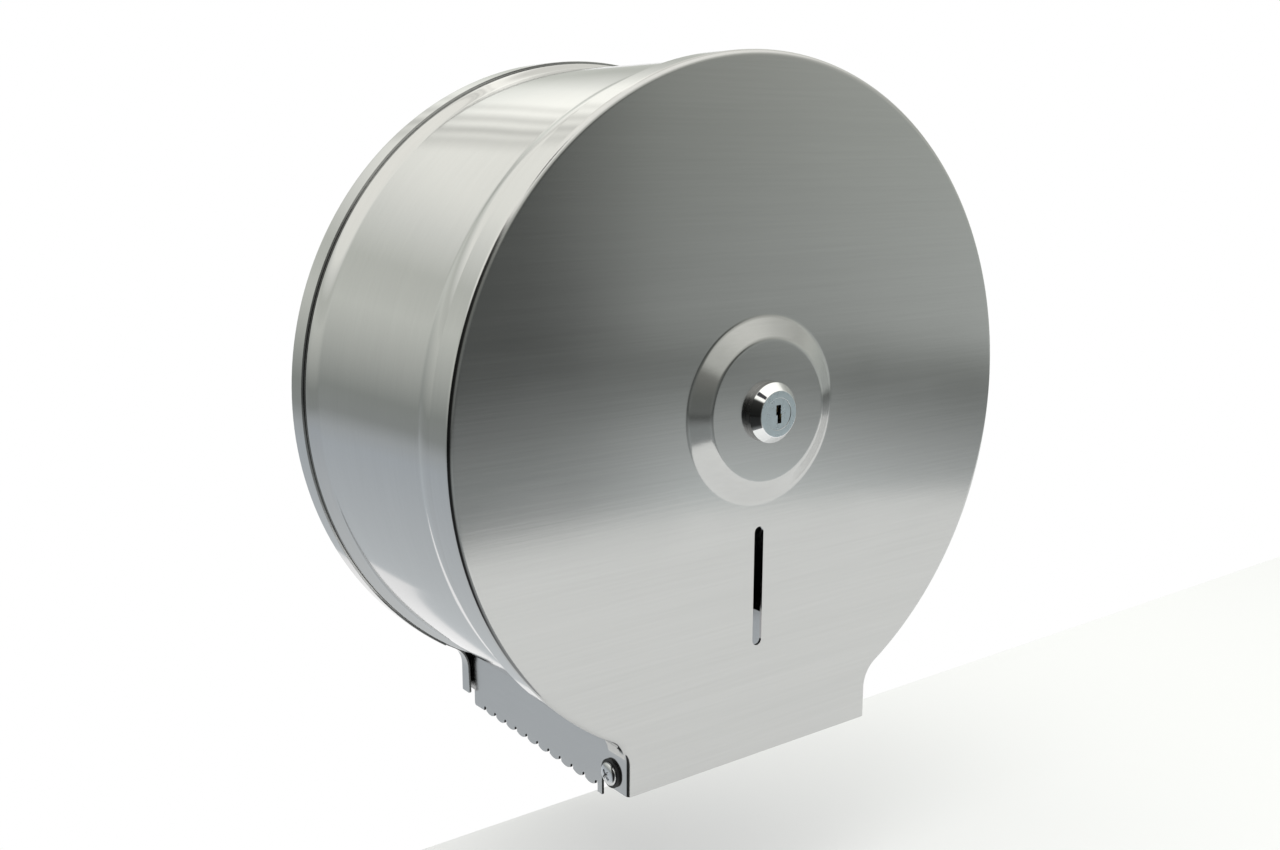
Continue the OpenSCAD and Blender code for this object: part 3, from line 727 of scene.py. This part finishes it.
def tear_plate(name, side):
    """One tear plate, on the left (-1) or the right (1)."""
    bm = bmesh.new()
    x = side * PLATE_X
    across = (1, 0, 0)
    root = TEETH_TIP + TOOTH_H
    chain = [bm.verts.new(at(x, SHEET, PLATE_TOP))]
    chain += line(bm, chain[-1], at(x, SHEET, PLATE_REAR_UP), at(x, PLATE_REAR_STEP, PLATE_REAR_UP),
                  at(x, PLATE_REAR_STEP, TEETH_TIP + 1.5))
    chain += arc(bm, chain[-1], at(x, PLATE_REAR_STEP + 1.2, TEETH_TIP + 1.5), -90, 5, across)
    chain += line(bm, chain[-1], at(x, FIRST_NOTCH - NOTCH_R, TEETH_TIP + 0.5))
    chord = TOOTH_PITCH - 2 * NOTCH_R
    lobe_r = (chord ** 2 / 4 + TOOTH_H ** 2) / (2 * TOOTH_H)
    lobe_turn = 2 * math.degrees(math.asin(chord / 2 / lobe_r))
    for notch in range(NOTCH_COUNT):
        depth = FIRST_NOTCH + notch * TOOTH_PITCH
        if notch:
            middle = at(x, depth - TOOTH_PITCH / 2, TEETH_TIP + lobe_r)
            chain += arc(bm, chain[-1], middle, -lobe_turn, 8, across)
        chain += line(bm, chain[-1], at(x, depth - NOTCH_R, root + NOTCH_RISE))
        chain += arc(bm, chain[-1], at(x, depth, root + NOTCH_RISE), 180, 6, across)
        if notch < NOTCH_COUNT - 1:
            chain += line(bm, chain[-1], at(x, depth + NOTCH_R, root))
    front = TAB_START + TAB_W
    ear_back = PIVOT_DEPTH - EAR_R / 2
    ear_low = math.sqrt(EAR_R ** 2 - (EAR_R / 2) ** 2)
    chain += line(bm, chain[-1], at(x, depth + NOTCH_R, TAB_TIP), at(x, front, TAB_TIP),
                  at(x, front, NOTCH_TOP), at(x, ear_back, NOTCH_TOP),
                  at(x, ear_back, PIVOT_UP - ear_low))
    chain += arc(bm, chain[-1], at(x, PIVOT_DEPTH, PIVOT_UP), -120, 14, across)
    chain += line(bm, chain[-1], at(x, PIVOT_DEPTH + EAR_R, PLATE_TOP - EAR_STEP),
                  at(x, PIVOT_DEPTH, PLATE_TOP - EAR_STEP), at(x, PIVOT_DEPTH, PLATE_TOP))
    bm.edges.new((chain[-1], chain[0]))
    hole = round_hole(bm, at(x, PIVOT_DEPTH, PIVOT_UP), PIVOT_HOLE_R, "X")
    fill_flat(bm, edges_of(bm, chain, closed=True) + hole)
    # The bent tab behind, with its two rivet holes
    inner = x - side * REAR_TAB_W
    tab = [bm.verts.new(at(x, SHEET, PLATE_TOP))]
    tab += line(bm, tab[-1], at(x, SHEET, PLATE_REAR_UP), at(inner, SHEET, PLATE_REAR_UP),
                at(inner, SHEET, PLATE_TOP))
    bm.edges.new((tab[-1], tab[0]))
    holes = []
    for z in TAB_RIVET_UP:
        holes += round_hole(bm, at(side * TAB_RIVET_X, SHEET, z), RIVET_R)
    fill_flat(bm, edges_of(bm, tab, closed=True) + holes)
    plate = to_object(name, bm, "housing", at(0, 60, -120))
    finish_edges(plate, wall=SHEET, edge=0.1)
    paint(plate, plate_steel)
    # The cut faces round the teeth notches, and round the gap between the longer tab and the hinge ear, get
    # a near-black steel: painted shade, for the shadow seen through them
    plate.data.materials.append(painted_shade_edge)
    for face in plate.data.polygons:
        depth, z = -face.center.y / MM, face.center.z / MM
        from_notch = abs(depth - FIRST_NOTCH - TOOTH_PITCH * round((depth - FIRST_NOTCH) / TOOTH_PITCH))
        in_notch = from_notch < NOTCH_R + 0.1 and z < root + NOTCH_RISE + NOTCH_R + 0.2
        if abs(face.normal.x) < 0.6 and (in_notch or depth > TAB_START + TAB_W - 0.2 and z < NOTCH_TOP):
            face.material_index = 1
    return plate


plate_steel = brushed_steel("plate_steel", (900, 60, 900), roughness=0.2, contrast=0.06, relief=0.0)
# A near-black steel for those cut faces: painted shade
painted_shade_edge = brushed_steel("painted_shade_edge", (60, 900, 900), base=(0.035, 0.035, 0.037), roughness=0.6,
                             anisotropic=0.0)
for node, side in (("left_tear_plate", -1), ("right_tear_plate", 1)):
    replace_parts(tear_plate(node.replace("plate", "blade"), side), node)


# ---------------------------------------------------------------- Hinge screws and rivets
# Zinc-plated pan head screws with a cross recess, a nut inside and a black nylon washer and
# spacer. The rivets are zinc plated too, flush with the wall side.
SCREW_HEAD_START = FOOT_HALF_W + 0.9
SCREW_HEAD_R = 4.5
SCREW_HEAD_H = 2.0
SCREW_EDGE_H = 0.5
SCREW_SHANK_R = 2.5
SCREW_SHANK_START = PLATE_X - SHEET - 5.0
RECESS_W = 1.2
RECESS_LEN = 4.6
RECESS_DEPTH = 1.2


def polished(name, colour, roughness, spots=90.0, metallic=1.0, relief=0.02, contrast=0.08):
    """Plated metal or moulded plastic with faint handling marks."""
    material = new_material(name)
    tree = material.node_tree
    place = add_node(tree, "ShaderNodeTexCoord")
    grain = add_node(tree, "ShaderNodeGroup", node_tree=grain_group, in_Stretch=(spots * 8,) * 3,
                     in_Base=(*colour, 1), in_Contrast=contrast, in_Roughness=roughness,
                     in_Clouds=spots)
    bump = add_node(tree, "ShaderNodeBump", in_Strength=relief, in_Distance=0.0001)
    metal = add_node(tree, "ShaderNodeBsdfPrincipled", in_Metallic=metallic)
    out = add_node(tree, "ShaderNodeOutputMaterial")
    connect = tree.links.new
    connect(place.outputs["Object"], grain.inputs["Vector"])
    connect(grain.outputs["Color"], metal.inputs["Base Color"])
    connect(grain.outputs["Roughness"], metal.inputs["Roughness"])
    connect(grain.outputs["Height"], bump.inputs["Height"])
    connect(bump.outputs[0], metal.inputs["Normal"])
    connect(metal.outputs[0], out.inputs["Surface"])
    return material


def turned_solid(name, outline, body, up, steps=64):
    """A solid of revolution about the lock's or a hinge's axis, from (radius, place) pairs."""
    bm = bmesh.new()
    chain = [bm.verts.new(up(*outline[0]))]
    chain += line(bm, chain[0], *[up(*point) for point in outline[1:]])
    ends = up(0, 0), up(0, 1)
    bmesh.ops.spin(bm, geom=chain + edges_of(bm, chain), cent=ends[0], axis=ends[1] - ends[0],
                   angle=math.tau, steps=steps, use_merge=True)
    return to_object(name, bm, body)


def cut(piece, cutter_bm):
    """Cuts a bmesh out of a piece."""
    bmesh.ops.recalc_face_normals(cutter_bm, faces=cutter_bm.faces)
    tool = add_object("cutter", cutter_bm)
    mesh = tool.data
    boolean = piece.modifiers.new("cut", "BOOLEAN")
    boolean.operation = "DIFFERENCE"
    boolean.solver = "EXACT"
    boolean.use_self = True
    boolean.object = tool
    depsgraph = bpy.context.evaluated_depsgraph_get()
    piece.data = bpy.data.meshes.new_from_object(piece.evaluated_get(depsgraph))
    piece.modifiers.clear()
    bpy.data.objects.remove(tool)
    bpy.data.meshes.remove(mesh)


def box_into(bm, low, high, turn=None):
    """Adds a box between two corners, turned about its own middle if need be."""
    middle, size = (low + high) / 2, high - low
    stretch = Matrix.Diagonal((*map(abs, size), 1))
    shape = Matrix.Translation(middle) @ (turn or Matrix.Identity(4)) @ stretch
    bmesh.ops.create_cube(bm, size=1, matrix=shape)


def pivot_screw(name, side):
    """One hinge screw, on the left (-1) or the right (1)."""
    def up(radius, distance):
        return at(side * distance, PIVOT_DEPTH, PIVOT_UP + radius)

    head = SCREW_HEAD_START
    outline = [(0, SCREW_SHANK_START), (SCREW_SHANK_R, SCREW_SHANK_START), (SCREW_SHANK_R, head),
               (SCREW_HEAD_R, head), (SCREW_HEAD_R, head + SCREW_EDGE_H)]
    for step in range(1, 13):
        lift = math.sin(math.pi / 2 * step / 12)
        radius = SCREW_HEAD_R * math.cos(math.pi / 2 * step / 12)
        outline.append((radius, head + SCREW_EDGE_H + (SCREW_HEAD_H - SCREW_EDGE_H) * lift))
    screw = turned_solid(name, outline, "housing", up)
    recess = bmesh.new()
    tip = head + SCREW_HEAD_H
    low = at(side * (tip - RECESS_DEPTH), PIVOT_DEPTH - RECESS_W / 2, PIVOT_UP - RECESS_LEN / 2)
    high = at(side * (tip + 1), PIVOT_DEPTH + RECESS_W / 2, PIVOT_UP + RECESS_LEN / 2)
    for turn in (45, 135):
        box_into(recess, low, high, Matrix.Rotation(math.radians(turn), 4, "X"))
    cut(screw, recess)
    finish_edges(screw, edge=0.12, sharp=35)
    paint(screw, zinc)
    return screw


zinc = polished("zinc_plate", (0.70, 0.71, 0.73), 0.2)
nylon = polished("black_nylon", (0.022, 0.022, 0.024), 0.45, metallic=0.0, relief=0.1)
for node, side in (("left_pivot_screw", -1), ("right_pivot_screw", 1)):
    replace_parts(pivot_screw(node.replace("pivot", "hinge"), side), node)
for node in ("left_pivot_nut", "right_pivot_nut", "tear_plate_rivets", "spindle_rivets", "sleeve_ring"):
    paint(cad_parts[node], zinc)
for node in ("left_pivot_washer", "right_pivot_washer", "left_pivot_spacer", "right_pivot_spacer",
             "thrust_washer"):
    paint(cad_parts[node], nylon)


# ---------------------------------------------------------------- Roll spindle and sleeve
# A turned tube on a riveted flange, closed in front by the strike plate. The grey sleeve is
# moulded, with shallow grooves that grip the roll's core.
spindle_steel = brushed_steel("spindle_steel", (700, 60, 700), along="Y", roughness=0.26)
sleeve_plastic = polished("sleeve_plastic", (0.42, 0.43, 0.44), 0.42, metallic=0.0, relief=0.15)
for node in ("spindle_flange", "spindle_tube", "strike_plate"):
    paint(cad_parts[node], spindle_steel)
paint(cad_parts["core_sleeve"], sleeve_plastic)


# ---------------------------------------------------------------- Cam lock
# A die-cast barrel with a bevelled, polished flange and a frosted face, and a plug with a
# keyway, both chrome plated. Its nut, washers, cam and screw are zinc plated, its wafers brass.
FLANGE_R = 11.5
FLANGE_EDGE_H = 2.4
FLANGE_H = 5.5
LOCK_FACE_R = 8.7
BARREL_R = 9.5
BARREL_BACK = 117.5
PLUG_R = 6.0
PLUG_BORE_R = 6.05
PLUG_SINK = 0.15
PLUG_BACK = 117.3
CAM_END_R, CAM_END_BACK = 2.75, 111.9
NECK_R, NECK_BACK = 4.2, 113.9
KEY_W = 2.3
KEY_UPPER = (-0.4, 3.4)
KEY_LOWER = (-3.6, 0.0)
KEY_LOWER_LEFT, KEY_LOWER_RIGHT = 0.7, 0.3
KEY_DEPTH = 14.0


def on_axis(radius, depth):
    """A point above the lock's axis."""
    return at(0, depth, AXIS_UP + radius)


lock_front = boss_face + FLANGE_H
barrel = turned_solid("lock_body", [
    (PLUG_BORE_R, BARREL_BACK), (BARREL_R, BARREL_BACK), (BARREL_R, boss_face), (FLANGE_R, boss_face),
    (FLANGE_R, boss_face + FLANGE_EDGE_H), (LOCK_FACE_R + 0.2, lock_front - 0.1), (LOCK_FACE_R, lock_front),
    (PLUG_BORE_R, lock_front), (PLUG_BORE_R, BARREL_BACK)], "lid", on_axis, steps=96)
finish_edges(barrel, edge=0.25, sharp=20, segments=3)
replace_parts(barrel, "lock_barrel")

chrome = polished("lock_chrome", (0.86, 0.87, 0.88), 0.07, contrast=0.03, relief=0.0)
frosted = polished("lock_frosted", (0.58, 0.66, 0.71), 0.3, spots=420.0, relief=0.3, contrast=0.3)
# A darker, duller metal for the flange's upright edge: painted shade
shaded_flange_edge = polished("lock_flange_painted_shade", (0.34, 0.34, 0.34), 0.3, contrast=0.05)
paint(barrel, chrome)
barrel.data.materials.append(frosted)
barrel.data.materials.append(shaded_flange_edge)
# The frosted face gets the second material, and the flange's upright edge gets the third, a painted shade
for face in barrel.data.polygons:
    if face.normal.y < -0.99 and face.center.y < -(lock_front - 1) * MM:
        face.material_index = 1
    elif abs(face.normal.y) < 0.3 and face.center.y < -boss_face * MM:
        face.material_index = 2

plug = turned_solid("lock_cylinder", [
    (0, CAM_END_BACK), (CAM_END_R, CAM_END_BACK), (CAM_END_R, NECK_BACK), (NECK_R, NECK_BACK),
    (NECK_R, PLUG_BACK), (PLUG_R, PLUG_BACK), (PLUG_R, lock_front - PLUG_SINK),
    (0, lock_front - PLUG_SINK)], "lock_plug", on_axis, steps=96)
for left, right, (low, high) in ((-KEY_W / 2, KEY_W / 2, KEY_UPPER),
                                 (-KEY_W / 2 + KEY_LOWER_LEFT, KEY_W / 2 + KEY_LOWER_RIGHT, KEY_LOWER)):
    keyway = bmesh.new()
    box_into(keyway, at(left, lock_front - KEY_DEPTH, AXIS_UP + low),
             at(right, lock_front + 1, AXIS_UP + high))
    cut(plug, keyway)
finish_edges(plug, edge=0.22, sharp=30, segments=3)
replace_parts(plug, "lock_plug")
paint(plug, chrome)
plug.data.materials.append(frosted)
for face in plug.data.polygons:
    if face.normal.y < -0.99 and face.center.y < -(lock_front - 1) * MM:
        face.material_index = 1

brass = polished("wafer_brass", (0.72, 0.53, 0.24), 0.25)
paint(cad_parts["lock_wafers"], brass)
for node in ("lock_washer", "lock_nut", "stop_washer", "lock_cam", "cam_screw"):
    paint(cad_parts[node], zinc)
